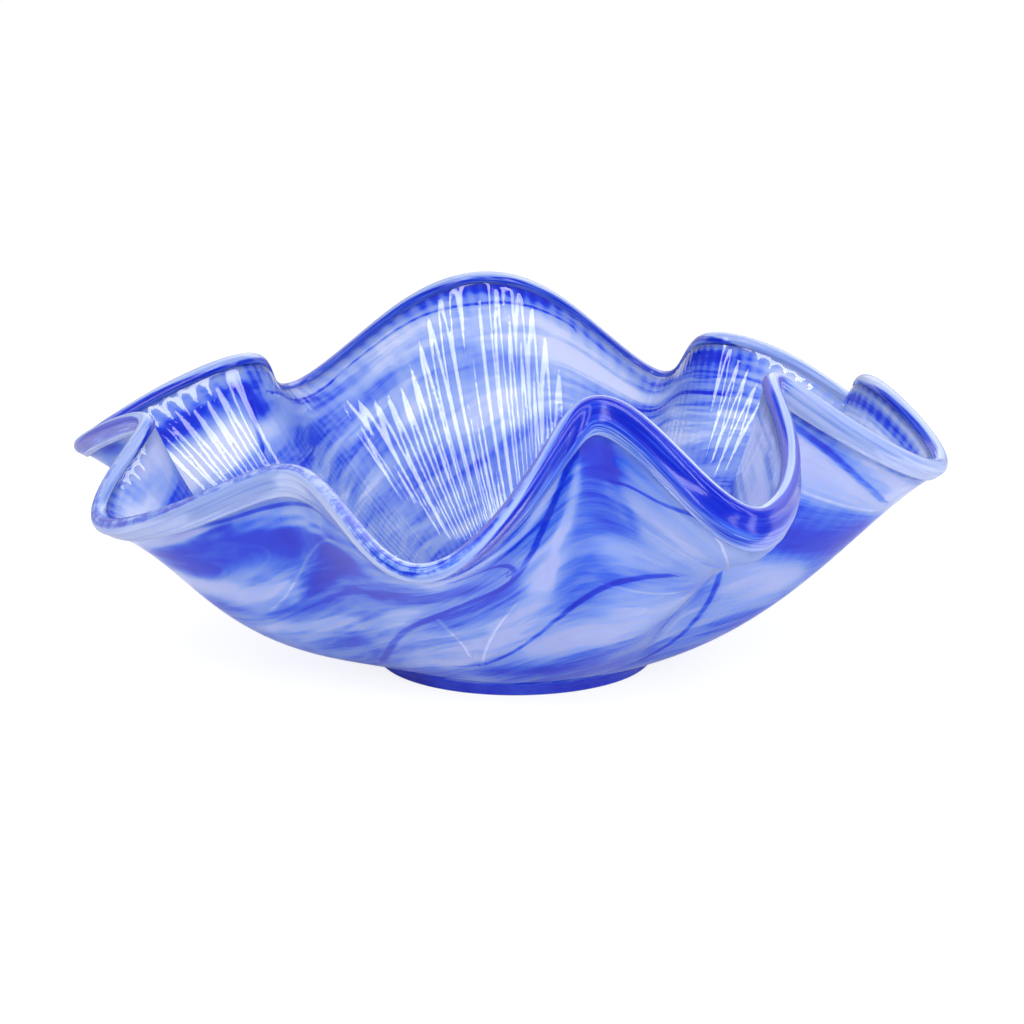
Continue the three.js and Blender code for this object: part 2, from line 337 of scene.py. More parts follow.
# Where the cobalt gathers and where the milky glass shows, with one line of painted shade, as brush
# strokes on the mid-surface:
# strength (below 0 for milky glass), half width in millimetres, then points of azimuth and along.
# Each group is named for where it is seen from the front.
STROKES = [
    # Outside of the front left lobe.
    (1.2, 15, [(204, 0.79), (212, 0.8), (220, 0.79), (228, 0.765), (235, 0.75)]),
    (-0.7, 10, [(206, 0.97), (216, 0.965), (226, 0.96), (235, 0.96), (242, 0.975)]),
    (-1.5, 11, [(198, 0.68), (205, 0.645), (211, 0.6), (218, 0.61)]),
    (0.8, 9, [(219, 0.56), (226, 0.61), (232, 0.66), (236, 0.72)]),
    (0.6, 6, [(214, 0.5), (222, 0.5), (232, 0.57), (241, 0.6)]),
    (-0.6, 12, [(210, 0.44), (219, 0.42), (227, 0.44)]),
    (-1.5, 5, [(196, 0.88), (204, 0.885), (211, 0.89)]),
    (-0.6, 2.5, [(209, 0.885), (217, 0.885), (225, 0.865), (233, 0.835)]),
    (0.4, 2, [(212, 0.865), (221, 0.86), (229, 0.835), (238, 0.8)]),
    (-0.6, 2, [(214, 0.84), (223, 0.835), (231, 0.81), (240, 0.78)]),
    (-0.6, 2.5, [(217, 0.86), (224, 0.84), (231, 0.81), (238, 0.79)]),
    # Outside of the front lobe and pinch.
    (0.7, 2.5, [(246, 0.9), (254, 0.895), (261, 0.91), (267, 0.94), (272, 0.97)]),
    (0.8, 3, [(250, 0.8), (258, 0.82), (265, 0.86), (270, 0.9), (275, 0.95)]),
    (-0.6, 3, [(248, 0.86), (256, 0.86), (264, 0.9), (270, 0.94)]),
    (-0.8, 4.5, [(254, 0.74), (262, 0.785), (269, 0.83), (273, 0.89), (275, 0.94)]),
    (0.7, 3, [(262, 0.72), (269, 0.77), (274, 0.83), (278, 0.9)]),
    (0.4, 8, [(236, 0.79), (244, 0.8), (252, 0.82), (260, 0.84), (266, 0.87)]),
    (0.45, 9, [(240, 0.62), (248, 0.66), (256, 0.67), (263, 0.69)]),
    (0.5, 9, [(250, 0.47), (257, 0.52), (263, 0.54)]),
    (-0.7, 9, [(234, 0.38), (241, 0.44), (247, 0.5)]),
    (-0.5, 12, [(238, 0.2), (250, 0.3), (262, 0.4), (270, 0.45)]),
    (-0.6, 9, [(262, 0.68), (268, 0.66), (270, 0.58)]),
    (0.9, 8, [(278, 0.95), (281, 0.91), (284, 0.88)]),
    (0.4, 8, [(280, 0.88), (282, 0.8), (283, 0.74)]),
    # The next stroke is painted shade: darker cobalt down the front pinch's fold.
    (0.6, 2.5, [(284, 0.9), (286, 0.82), (287, 0.76)]),
    (-0.8, 3, [(278, 0.88), (277, 0.78), (275, 0.66), (273, 0.54)]),
    (-0.7, 8, [(250, 0.2), (262, 0.34), (271, 0.5), (275, 0.64)]),
    (0.3, 7, [(262, 0.12), (272, 0.2), (279, 0.32), (286, 0.45)]),
    (-0.6, 10, [(274, 0.3), (284, 0.37), (294, 0.4)]),
    (-0.3, 22, [(238, 0.2), (262, 0.25), (288, 0.3), (300, 0.45)]),
    # Outside of the front right lobe.
    (-0.8, 12, [(289, 0.82), (293, 0.84), (297, 0.9)]),
    (-0.8, 12, [(288, 0.66), (293, 0.7), (296, 0.75)]),
    (0.4, 6, [(286, 0.58), (290, 0.64), (294, 0.71), (297, 0.8)]),
    (-0.8, 14, [(276, 0.32), (286, 0.44), (293, 0.55)]),
    (0.4, 9, [(262, 0.12), (276, 0.16), (290, 0.2)]),
    # Outside of the right lobe.
    (0.85, 13, [(321, 0.67), (328, 0.66), (335, 0.67), (342, 0.69)]),
    (-1.1, 10, [(316, 0.52), (326, 0.52), (334, 0.53)]),
    (-1.2, 15, [(320, 0.85), (328, 0.84), (336, 0.83), (344, 0.84)]),
    (-0.6, 10, [(306, 0.75), (308, 0.65), (309, 0.5)]),
    (0.8, 4.5, [(319, 0.925), (325, 0.915), (330, 0.905), (335, 0.885), (341, 0.845)]),
    (-0.5, 12, [(316, 0.3), (324, 0.42), (332, 0.46)]),
    (-0.7, 3.5, [(322, 0.96), (329, 0.95), (335, 0.935), (340, 0.905), (345, 0.87)]),
    (0.8, 3, [(333, 0.985), (337, 0.965), (341, 0.955), (347, 0.965)]),
    # Inside of the right pinch.
    (-1.1, 12, [(310, 0.78), (313, 0.86), (316, 0.94)]),
    (0.6, 2.5, [(312, 0.8), (314, 0.84), (317, 0.87)]),
    (0.5, 2, [(312, 0.86), (315, 0.9), (317, 0.94)]),
    # Inside of the near left fold, and the outside of the far left tip.
    (-1.5, 14, [(183, 0.96), (187, 0.91), (191, 0.86)]),
    (0.7, 4, [(186, 0.86), (189, 0.9), (190, 0.93)]),
    (0.8, 5, [(196, 0.97), (199, 0.95), (203, 0.95)]),
    (-0.8, 12, [(172, 0.93), (177, 0.9), (181, 0.88)]),
    (0.9, 5, [(170, 0.97), (174, 0.96), (176, 0.93)]),
    # Inside of the left lobe.
    (0.7, 5, [(155, 0.97), (163, 0.975), (171, 0.98), (180, 0.97)]),
    (0.85, 6, [(152, 0.89), (158, 0.865), (164, 0.865)]),
    (-1.2, 13, [(151, 0.775), (159, 0.76), (166, 0.76)]),
    (1.1, 6, [(149.5, 0.95), (149, 0.9), (148, 0.83)]),
    (0.4, 6, [(143, 0.9), (134, 0.9), (126, 0.88)]),
    (-0.8, 8, [(146, 0.78), (137, 0.81), (128, 0.84)]),
    (-0.4, 24, [(146, 0.62), (134, 0.58), (122, 0.56)]),
    # Inside of the tall pinch at the back.
    (-0.45, 24, [(112, 0.8), (98, 0.78), (84, 0.8)]),
    (-0.15, 24, [(118, 0.5), (98, 0.45), (78, 0.5)]),
    (0.95, 5, [(126, 0.975), (117, 0.97), (108, 0.965), (98, 0.965), (88, 0.965), (78, 0.965)]),
    (0.5, 6, [(140, 0.66), (131, 0.72), (122, 0.76), (113, 0.8)]),
    (0.35, 7, [(133, 0.58), (124, 0.64), (114, 0.68)]),
    (-0.6, 10, [(112, 0.88), (103, 0.87), (93, 0.86), (84, 0.87)]),
    (0.45, 4, [(106, 0.77), (99, 0.795), (93, 0.795), (86, 0.77)]),
    (-0.7, 12, [(108, 0.68), (99, 0.66), (90, 0.68)]),
    (0.3, 10, [(112, 0.52), (104, 0.56), (96, 0.5)]),
    # Inside of the back right lobes.
    (0.4, 6, [(77, 0.95), (70, 0.92), (64, 0.93), (58, 0.94)]),
    (-0.35, 18, [(74, 0.86), (64, 0.86), (55, 0.86)]),
    (-0.8, 10, [(80, 0.82), (74, 0.82), (69, 0.84)]),
    (0.25, 6, [(68, 0.8), (60, 0.8), (52, 0.82)]),
    (-0.8, 5, [(52, 0.985), (44, 0.985), (36, 0.985)]),
    (0.5, 5, [(52, 0.93), (45, 0.935), (39, 0.945)]),
    (0.35, 10, [(53, 0.86), (45, 0.87), (38, 0.89)]),
    (-0.7, 11, [(52, 0.72), (45, 0.7), (39, 0.74)]),
    (-1.0, 16, [(36, 0.94), (27, 0.94), (19, 0.96)]),
    (0.6, 3, [(12, 0.975), (4, 0.975), (354, 0.975)]),
    (-1.1, 3, [(12, 0.94), (3, 0.94), (353, 0.94)]),
    (0.3, 3, [(12, 0.905), (4, 0.905), (355, 0.91)]),
    (-0.7, 4, [(12, 0.86), (4, 0.865), (356, 0.87)]),
    # Outside, just under the front right lip.
    (0.95, 4, [
        (278, 0.985), (284, 0.97), (290, 0.965), (296, 0.965), (302, 0.97), (309, 0.975), (317, 0.97),
    ]),
]

STROKE_EDGE = 3  # a higher power gives the strokes crisper edges
FLOOR_COBALT = 0.5  # more cobalt gathers in the middle of the floor
FLOOR_EDGE = (-0.5, -0.1)

# Thin cobalt threads: half width in millimetres, then points of azimuth and along.
THREADS = [
    (2.0, [
        (226, 0.2), (233, 0.28), (241, 0.4), (250, 0.51), (258, 0.58),
        (265, 0.59), (269, 0.67), (272, 0.77), (275, 0.88), (279, 0.92),
    ]),
    (1.0, [(257, 0.75), (262, 0.74), (265, 0.68), (266, 0.62)]),
    (1.3, [
        (203, 0.925), (213, 0.895), (221, 0.885), (229, 0.885),
        (237, 0.89), (246, 0.89), (256, 0.9), (265, 0.92),
    ]),
    (1.2, [(258, 0.2), (266, 0.28), (274, 0.38), (281, 0.5), (288, 0.605), (293, 0.68)]),
    (0.8, [(230, 0.1), (244, 0.16), (258, 0.2), (268, 0.3)]),
    (0.6, [(284, 0.84), (287, 0.86), (290, 0.875), (294, 0.925), (299, 0.96)]),
    (2.0, [(318, 0.905), (324, 0.9), (329, 0.892), (333, 0.88), (337, 0.855), (342, 0.82)]),
    (1.5, [(312, 0.16), (318, 0.26), (320, 0.39), (320, 0.5), (317, 0.6)]),
    (1.0, [(150, 0.86), (149.5, 0.8), (149, 0.72)]),
    (1.1, [(145, 0.88), (136, 0.89), (128, 0.9), (121, 0.91)]),
    (0.7, [(118, 0.92), (108, 0.92), (98, 0.915), (88, 0.92), (79, 0.92)]),
    (0.9, [(66, 0.79), (58, 0.805), (50, 0.825), (42, 0.82)]),
]

# Thin white veils in the same form.
VEILS = [
    (0.8, [(214, 0.55), (219, 0.6), (224, 0.67), (230, 0.75), (236, 0.8), (243, 0.8)]),
    (0.9, [(258, 0.2), (259, 0.3), (262, 0.42), (266, 0.5)]),
    (0.8, [(255, 0.26), (254, 0.34), (252, 0.42), (251, 0.5)]),
    (0.8, [(285, 0.56), (291, 0.58), (297, 0.62)]),
    (0.9, [(296, 0.9), (301, 0.7), (305, 0.5), (307, 0.35)]),
    (1.0, [(318, 0.77), (325, 0.765), (333, 0.765), (342, 0.775)]),
]

LINE_REACH = (3, 6)  # half widths; further away, a line isn't drawn at all

# Waves that make lines wander: waves round the bowl, waves along it and size.
WANDER = [(9, 21, 1.0), (17, -34, 0.6), (31, 47, 0.35), (53, -80, 0.2)]
STROKE_WANDER = (0.6, 0.006)  # in degrees of azimuth, and along
THREAD_WANDER = 0.15  # of the strokes' wandering along
FAR_AWAY = 1e3  # further than any line

# The streaks lean as they climb, most at one side of the bowl, and turn level towards the rim.
STREAK_RADIUS = 0.95  # of the circle in the noise's space that the bowl's streaks run round
STREAK_HEIGHT = 28.0  # millimetres up the bowl for each unit of the noise's space
STREAK_LEAN = 75.0  # millimetres up the bowl
STREAK_LEAN_TURN = math.radians(80)
STREAK_RIM_SHIFT = 25.0
STREAKS_LEVEL = (0.68, 0.93)  # along

# Sectors of azimuth, in degrees: where each begins and is full, then where it fades and ends.
RIGHT_LOBE = ((316, 322), (344, 352))
CALM_SECTORS = [  # how much the streaks are calmed, and where
    (0.6, ((272, 279), (300, 308))),
    (0.4, ((76, 86), (112, 126))),
    (0.6, RIGHT_LOBE),
]
CALM_START = (0.4, 0.55)  # along

RIBBING = 0.045  # how strongly the ribs' painted shade and light darken and lighten the colour
RIBBING_AT_RIM = 0.09  # added near the rim
RIBBING_RIGHT = -0.05  # added in the right lobe, below its rim
RIBBING_LEAST = 0.03
NEAR_RIM = (0.84, 0.96)  # along
RIGHT_RIM = (0.92, 0.95)
RIBBING_START = (-0.6, 0.1)


def sector(azimuth, begins, fades):
    """1 inside a sector of azimuth and 0 outside it."""
    return smooth_step(*begins, azimuth) * (1 - smooth_step(*fades, azimuth))


def rounded(points):
    """A line of azimuth and along with its corners cut off twice."""
    for _ in range(2):
        line = [points[0]]
        for (a0, s0), (a1, s1) in zip(points, points[1:]):
            turned = (a1 - a0 + 180) % 360 - 180
            line.extend((a0 + turned * share, s0 + (s1 - s0) * share) for share in (0.25, 0.75))
        points = line + [points[-1]]
    return points


def nearer(first, second):
    """Of two signed distances, the one nearer to 0 at each place."""
    return np.where(np.abs(second) < np.abs(first), second, first)


def distance_to(points, azimuth, along, radius):
    """Signed distance in millimetres from each place on the mid-surface to a line near points."""
    nearest = np.full(azimuth.shape, FAR_AWAY)
    line = rounded(points)
    for (a0, s0), (a1, s1) in zip(line, line[1:]):
        x = np.radians((azimuth - a0 + 180) % 360 - 180) * radius
        y = (along - s0) * WALL_LENGTH
        dx = np.radians((a1 - a0 + 180) % 360 - 180) * radius
        dy = (s1 - s0) * WALL_LENGTH
        share = np.clip((x * dx + y * dy) / (dx * dx + dy * dy), 0, 1)
        side = np.where(dx * y - dy * x < 0, -1, 1)
        nearest = nearer(nearest, side * np.hypot(x - share * dx, y - share * dy))
    return nearest


def ripple(azimuth, along, seed):
    """A gentle wandering, so that no stroke is quite smooth."""
    angle = np.radians(azimuth)
    total = 0
    for k, (round_bowl, up_bowl, size) in enumerate(WANDER, 1):
        total = total + size * np.sin(round_bowl * angle + up_bowl * along + seed * k)
    return total


def stroke_cobalt(azimuth, along, radius):
    """How much the strokes add to the cobalt, painted shade included, below 0 where the glass is milky.
    """
    cobalt = np.zeros_like(along)
    for strength, width, points in STROKES:
        distance = distance_to(points, azimuth, along, radius)
        cobalt = cobalt + strength * np.exp(-(np.abs(distance / width) ** STROKE_EDGE))
    return cobalt


def nearest_line(lines, azimuth, along, radius):
    """The distance to the nearest thread or veil, counted in its own half widths."""
    nearest = np.full(azimuth.shape, FAR_AWAY)
    for width, points in lines:
        nearest = nearer(nearest, distance_to(points, azimuth, along, radius) / width)
    return nearest


def flow_place(angle, along):
    """Where each point lies in the space of the streaks' noise."""
    up = np.where(along < 0, (1 + along) * FOOT_RADIUS, FOOT_RADIUS + along * WALL_LENGTH)
    reach = np.clip(up / FOOT_RADIUS, 0, 1)
    lean = STREAK_LEAN * np.sin(angle + STREAK_LEAN_TURN)
    level = smooth_step(*STREAKS_LEVEL, along)
    climb = up - lean * reach * (1 - level) + STREAK_RIM_SHIFT * level
    around = STREAK_RADIUS * reach
    return np.cos(angle) * around, np.sin(angle) * around, climb / STREAK_HEIGHT


def streakiness(azimuth, along):
    """How strong the streaks are: calmer in a few sectors of the wall."""
    calm = sum(share * sector(azimuth, *sides) for share, sides in CALM_SECTORS)
    return 1 - calm * smooth_step(*CALM_START, along)


def painted_rib_shade_strength(azimuth, along, inside):
    """How strongly the ribs' painted shade and light show: on the inside, and from outside through the
    right lobe.
    """
    right = sector(azimuth, *RIGHT_LOBE)
    strength = RIBBING + RIBBING_AT_RIM * smooth_step(*NEAR_RIM, along)
    strength = strength + RIBBING_RIGHT * right * (1 - smooth_step(*RIGHT_RIM, along))
    shown = np.maximum(inside, right) * smooth_step(*RIBBING_START, along)
    return np.maximum(strength, RIBBING_LEAST) * shown


def paint(piece, turn, along, inside):
    """Stores for the material where each point lies in the pattern, and how much cobalt it has."""
    _, _, azimuths = wall_rings(turn)
    share = np.clip(along, 0, 1)
    angle = azimuths[0] * (1 - share) + azimuths[4] * share
    azimuth = np.degrees(angle) % 360
    radius = np.linalg.norm(middle(turn, along)[:, :2], axis=-1) + 1  # never 0
    bent_azimuth = azimuth + STROKE_WANDER[0] * ripple(azimuth, along, 1.3)
    bend_along = STROKE_WANDER[1] * ripple(azimuth, along, 4.1)
    add_vectors(piece, "flow", *flow_place(angle, along))
    cobalt = stroke_cobalt(bent_azimuth, along + bend_along, radius)
    cobalt = cobalt + FLOOR_COBALT * (1 - smooth_step(*FLOOR_EDGE, along))
    add_attribute(piece, "cobalt", cobalt)
    add_attribute(piece, "streakiness", streakiness(azimuth, along))
    add_attribute(piece, "inside", inside)
    for name, lines in [("thread", THREADS), ("veil", VEILS)]:
        nearest = nearest_line(lines, azimuth, along + THREAD_WANDER * bend_along, radius)
        add_attribute(piece, name, nearest)
        add_attribute(piece, name + "_near", 1 - smooth_step(*LINE_REACH, np.abs(nearest)))
    add_attribute(piece, "rib_drift", math.radians(START) + 2 * np.pi * turn - angle)
    # How strongly the ribs' painted shade and light show at each point.
    add_attribute(piece, "painted_rib_shade_strength", painted_rib_shade_strength(azimuth, along, inside))


COLOUR_COLUMNS = 640
COLOUR_ROWS = (14, 58)  # on the floor and on the wall


def colour_layer():
    """The thin layer of cobalt and milky glass between the lining and the casing."""
    outer, places = side_rings(COLOUR_COLUMNS, COLOUR_ROWS, lambda t, a: COLOUR_FACE + 0 * t)
    inner, _ = side_rings(COLOUR_COLUMNS, COLOUR_ROWS, lambda t, a: -COLOUR_FACE + 0 * t)
    piece = ring_mesh("colour_layer_glass", outer + inner[::-1])
    turn = np.concatenate([t for t, _ in places + places[::-1]])
    along = np.concatenate([a for _, a in places + places[::-1]])
    inside = np.repeat([0.0, 1.0], len(turn) // 2)
    paint(piece, turn, along, inside)
    return piece


# ---- The lip ----

LIP_COLUMNS = 960
BEAD_ARC = (203, -5)  # degrees, over the top of the bead from the inside to the outside
BEAD_RINGS = 19
BEAD_SIDE = LIP_RADIUS * math.pi / 2  # along the glass, from the bead's top to its side
BEAD_TO_SKIRT = LIP_GAP + LIP_CENTRE - 1.0  # roughly, from its side to the ends of the layers

SKIRT_RINGS = 9
SKIRT_FACE = 4.0  # from the mid-surface to the outside of the skirt
SKIRT_START = 0.08  # of the skirt's length, where its outside leaves the bead
SKIRT_BULGE_PACE = 1.15  # above 1, the bulge is over before the end of the skirt
SKIRT_LEAST = 1.5
SKIRT_HEM = [(0.35, 3.7), (0.55, 3.3), (0.5, 2.8)]  # past the skirt's end, and from the mid-surface
SKIRT_BACK = 2.5  # from the mid-surface to the hidden side, which lies inside the casing
SKIRT_BACK_RINGS = [0.7, 0.35, 0]  # of the skirt's length

# Round the rim, at each lobe and pinch in turn: how far the lip's skirt reaches down the outside, how
# far it bulges, how far the lip is mottled to each side of its speckles' middle, how far it is pale
# from its top, and how wide the cobalt stripe is that follows.
LIP = [
    [4, 0.3, 4, 20, 0], [6.5, 0.4, 5, 30, 0], [5, 0.4, 3.5, 6, 2], [9, 0.8, 0, 1, 9],
    [12, 1.2, 0, 1, 9], [6, 0.5, 0, 1.5, 5], [2, 0.2, 1, 4, 4], [1.5, 0.1, 0, 6, 3],
    [1.5, 0.1, 0, 20, 0], [1.5, 0.1, 0, 5, 3], [1.5, 0.1, 0, 5, 6], [1.5, 0.1, 0, 5, 6],
    [1.5, 0.1, 0, 5, 6], [1.5, 0.1, 0, 5, 4], [2, 0.2, 0, 2, 6], [3, 0.2, 0, 3, 2],
]

lip_controls = columns_of(LIP)

STRIPE_WANDER = 0.4  # how far the stripes' edges wander
STRIPE_FLOW = 2.0  # the stripes' noise runs round a circle of this radius in its space
STRIPE_HEIGHT = 3.0  # millimetres across the lip for each unit of the noise's space
STRIPE = 0.72  # how much a stripe adds to the cobalt
STRIPE_EDGE = 1.0  # how softly it starts
STRIPE_FADE = 0.3  # taken away again past the stripe's width
STRIPE_FADE_EDGE = 1.5
HEM_FADE = 0.25  # taken away again at the skirt's hem: a pale edge of the lip's glass with a painted highlight along it
HEM_EDGE = (1.6, 0.6)  # above the hem, where that starts and where it is complete
BARE_LIP = ((9.9, 10.4), (12, 12.6))  # rows of RIM between which the lip has no stripe
LIP_CLEAR = 0.17  # the cobalt where there is no stripe
SPECKLED_COBALT = 0.16
SPECKLES_INWARD = 1.8  # how far the speckles' middle lies inside the top of the bead
SPECKLES_EDGE = 1.5
LEAST_SPECKLES = (0.5, 1.5)  # narrower than this, the mottled part fades away


def bead_rings(turn):
    """The rings over the top of the bead, and how far each lies from its top along the glass."""
    end = layer_end(turn)
    out, up = directions_at(turn, end)
    centre = middle(turn, end) + up * (LIP_GAP + LIP_CENTRE)
    rings, depths = [], []
    for angle in np.radians(np.linspace(*BEAD_ARC, BEAD_RINGS)):
        rings.append(centre + LIP_RADIUS * (out * math.cos(angle) + up * math.sin(angle)))
        depths.append(LIP_RADIUS * (math.pi / 2 - angle) + 0 * turn)
    return rings, depths


def skirt_rings(turn, skirt, bulge):
    """The rings down the outside of the skirt, round its hem and back up its hidden side."""
    end = layer_end(turn)
    step = 1e-3
    speed = np.linalg.norm(middle(turn, end) - middle(turn, end - step), axis=-1) / step
    places = []  # how far each ring lies below the ends of the layers, and from the mid-surface
    for share in np.linspace(SKIRT_START, 1, SKIRT_RINGS):
        swell = math.sin(math.pi * min(share * SKIRT_BULGE_PACE, 1))
        places.append((share * skirt, SKIRT_FACE + bulge * swell))
    places.extend((skirt + extra, face + 0 * turn) for extra, face in SKIRT_HEM)
    places.extend((share * skirt, SKIRT_BACK + 0 * turn) for share in SKIRT_BACK_RINGS)
    rings = [offset_point(turn, end - drop / speed, face) for drop, face in places]
    depths = [BEAD_SIDE + BEAD_TO_SKIRT + drop for drop, _ in places]
    return rings, depths


def lip_density(depth, turn, mottled, pale, band, skirt):
    """How much cobalt shows in the lip, in stripes along the rim, where it is speckled, and the paler
    hem with its painted highlight.
    """
    wander = STRIPE_WANDER * ripple(360 * turn, 0 * turn, 2.2)
    from_top = np.abs(depth) + wander
    hem = BEAD_SIDE + skirt
    stripe = smooth_step(pale, pale + STRIPE_EDGE, from_top)
    stripe = stripe * (1 - sector(turn * len(RIM), *BARE_LIP))
    past_stripe = smooth_step(pale + band, pale + band + STRIPE_FADE_EDGE, from_top)
    # Paler towards the hem: the lip's pale edge, with a painted highlight along it.
    pale_hem_and_highlight = smooth_step(hem - HEM_EDGE[0], hem - HEM_EDGE[1], from_top)
    from_speckles = np.abs(depth + SPECKLES_INWARD) + wander
    speckled = 1 - smooth_step(mottled - SPECKLES_EDGE, mottled, from_speckles)
    speckled = speckled * smooth_step(*LEAST_SPECKLES, mottled)
    density = LIP_CLEAR + SPECKLED_COBALT * speckled
    return density + stripe * (STRIPE - STRIPE_FADE * past_stripe - HEM_FADE * pale_hem_and_highlight), speckled


def lip():
    """The bead of glass that closes the rim, with a skirt of its glass down the outside."""
    turn = turns_round(LIP_COLUMNS)
    skirt, bulge, mottled, pale, band = (spline_at(controls, turn) for controls in lip_controls)
    skirt = np.maximum(skirt, SKIRT_LEAST)
    bead, bead_depths = bead_rings(turn)
    hanging, skirt_depths = skirt_rings(turn, skirt, bulge)
    rings = bead + hanging
    piece = ring_mesh("lip_bead", rings, looped=True)
    depth = np.concatenate(bead_depths + skirt_depths)
    turns = np.tile(turn, len(rings))
    angle = 2 * np.pi * turns
    flow = (np.cos(angle) * STRIPE_FLOW, np.sin(angle) * STRIPE_FLOW, depth / STRIPE_HEIGHT)
    add_vectors(piece, "flow", *flow)
    widths = [np.tile(values, len(rings)) for values in (mottled, pale, band, skirt)]
    cobalt, speckled = lip_density(depth, turns, *widths)
    add_attribute(piece, "cobalt", cobalt)
    add_attribute(piece, "speckled", speckled)
    return piece


# ---- The foot ----

FOOT_COLUMNS = 256
GROUND_RADIUS = 62.0  # of the ground face, flat up to here
GROUND_RINGS = [20, 45, 61]
CORNER_WIDTH = 2.5
CORNER_HEIGHT = 1.6
CORNER_ANGLES = [15, 40, 65, 90]
FOOT_SIDE = [(64.9, 3), (65.8, 4.4), (67.2, 5.8), (66.5, 7.2)]  # radius and height, up to the wall
FOOT_TOP_RINGS = [0.96, 0.9, 0.75, 0.5, 0.25]  # of the floor's radius


def foot():
    """The disc with the ground face that the bowl stands on, its top close under the floor."""
    azimuth = 2 * np.pi * turns_round(FOOT_COLUMNS)
    profile = [(radius, 0) for radius in GROUND_RINGS]
    for angle in np.radians(CORNER_ANGLES):
        radius = GROUND_RADIUS + CORNER_WIDTH * math.sin(angle)
        profile.append((radius, CORNER_HEIGHT * (1 - math.cos(angle))))
    profile.extend(FOOT_SIDE)
    rings = [np.zeros((1, 3))]
    rings.extend(polar(radius + 0 * azimuth, height, azimuth) for radius, height in profile)
    turn = (azimuth - math.radians(START)) / (2 * np.pi)
    for reach in FOOT_TOP_RINGS:
        rings.append(offset_point(turn, reach - 1 + 0 * turn, FOOT_TOP + 0 * turn))
    pole = offset_point(np.zeros(1), -np.ones(1), np.full(1, FOOT_TOP))
    pole[0, :2] = 0
    rings.append(pole)
    return ring_mesh("foot_disc_glass", rings)


# ---- Materials ----


class Shader:
    """Short ways to add nodes. Every value is a number, a colour or another node's output."""

    def __init__(self, tree):
        self.nodes = tree.nodes
        self.links = tree.links

    def fill(self, node, inputs):
        for name, value in inputs.items():
            if isinstance(value, bpy.types.NodeSocket):
                self.links.new(value, node.inputs[name])
            else:
                node.inputs[name].default_value = value

    def add(self, kind, inputs=()):
        node = self.nodes.new("ShaderNode" + kind)
        self.fill(node, dict(inputs))
        return node

    def attribute(self, name, output="Fac"):
        node = self.add("Attribute")
        node.attribute_name = name
        return node.outputs[output]

    def place(self):
        return self.add("TexCoord").outputs["Object"]

    def axes(self, vector):
        return self.add("SeparateXYZ", {"Vector": vector}).outputs

    def light_path(self, output):
        return self.add("LightPath").outputs[output]

    def calculate(self, operation, first, second=0.0):
        node = self.add("Math")
        node.operation = operation
        self.fill(node, {0: first, 1: second})
        return node.outputs[0]

    def times(self, first, second):
        return self.calculate("MULTIPLY", first, second)

    def total(self, *parts):
        so_far = parts[0]
        for part in parts[1:]:
            so_far = self.calculate("ADD", so_far, part)
        return so_far

    def noise(self, vector, scale, detail, distortion=0.0):
        inputs = {"Vector": vector, "Scale": scale, "Detail": detail, "Distortion": distortion}
        return self.add("TexNoise", inputs).outputs["Fac"]

    def between(self, value, low, high, to_low, to_high, curve="SMOOTHSTEP"):
        """Maps low to high onto to_low to to_high, and stays there beyond both ends."""
        node = self.add("MapRange", {"Value": value, "From Min": low, "From Max": high})
        self.fill(node, {"To Min": to_low, "To Max": to_high})
        node.interpolation_type = curve
        return node.outputs["Result"]

    def ramp(self, value, stops):
        """The colour at a value, through stops of value and colour."""
        low, high = stops[0][0], stops[-1][0]
        share = self.calculate("SUBTRACT", value, low)
        node = self.add("ValToRGB", {"Fac": self.calculate("DIVIDE", share, high - low)})
        while len(node.color_ramp.elements) < len(stops):
            node.color_ramp.elements.new(0.5)
        for element, (stop, colour) in zip(node.color_ramp.elements, stops):
            element.position = (stop - low) / (high - low)
            element.color = (*colour, 1)
        return node.outputs["Color"]

    def mix_colours(self, factor, first, second):
        node = self.add("Mix")
        node.data_type = "RGBA"
        self.fill(node, {"Factor": factor, "A": first, "B": second})
        return node.outputs["Result"]

    def mix_shaders(self, factor, first, second):
        return self.add("MixShader", {"Fac": factor, 1: first, 2: second}).outputs["Shader"]

    def bump(self, height, strength, distance):
        inputs = {"Height": height, "Strength": strength, "Distance": distance}
        return self.add("Bump", inputs).outputs["Normal"]

    def glass(self, inputs):
        return self.add("BsdfPrincipled", inputs).outputs["BSDF"]

    def surface(self, shader):
        self.add("OutputMaterial", {"Surface": shader})


def new_material(name):
    """A new material, and the shader to build it with."""
    material = bpy.data.materials.new(name)
    material.use_nodes = True
    material.node_tree.nodes.clear()
    return material, Shader(material.node_tree)


WHITE = (1, 1, 1, 1)

CLEAR_GLASS = (0.93, 0.94, 0.99, 1)
THINNER_GLASS = (*[channel**0.6 for channel in CLEAR_GLASS[:3]], 1)  # the same tint, weaker
CLEAR_TO_LIGHT = (0.93, 0.94, 0.97, 1)  # what light keeps on its way through to the colour
CLEAR_ROUGHNESS = 0.012


def clear_material():
    """Clear glass with the faint waviness of blown glass, and finer ripples on the inside."""
    material, shader = new_material("clear_casing")
    place = shader.place()
    tint = shader.noise(place, scale=9.0, detail=2.0)
    waves = shader.noise(place, scale=60.0, detail=3.0)
    ripples = shader.times(shader.noise(place, scale=330.0, detail=2.0), 1.1)
    height = shader.total(waves, shader.times(ripples, shader.attribute("inside")))
    roughness = shader.between(tint, 0.0, 1.0, CLEAR_ROUGHNESS, CLEAR_ROUGHNESS * 2.5, "LINEAR")
    glass = shader.glass({
        "Transmission Weight": 1.0,
        "IOR": 1.46,
        "Base Color": shader.mix_colours(tint, CLEAR_GLASS, THINNER_GLASS),
        "Roughness": roughness,
        "Normal": shader.bump(height, strength=0.06, distance=0.001),
    })
    shader.surface(let_light_through(shader, glass))
    return material


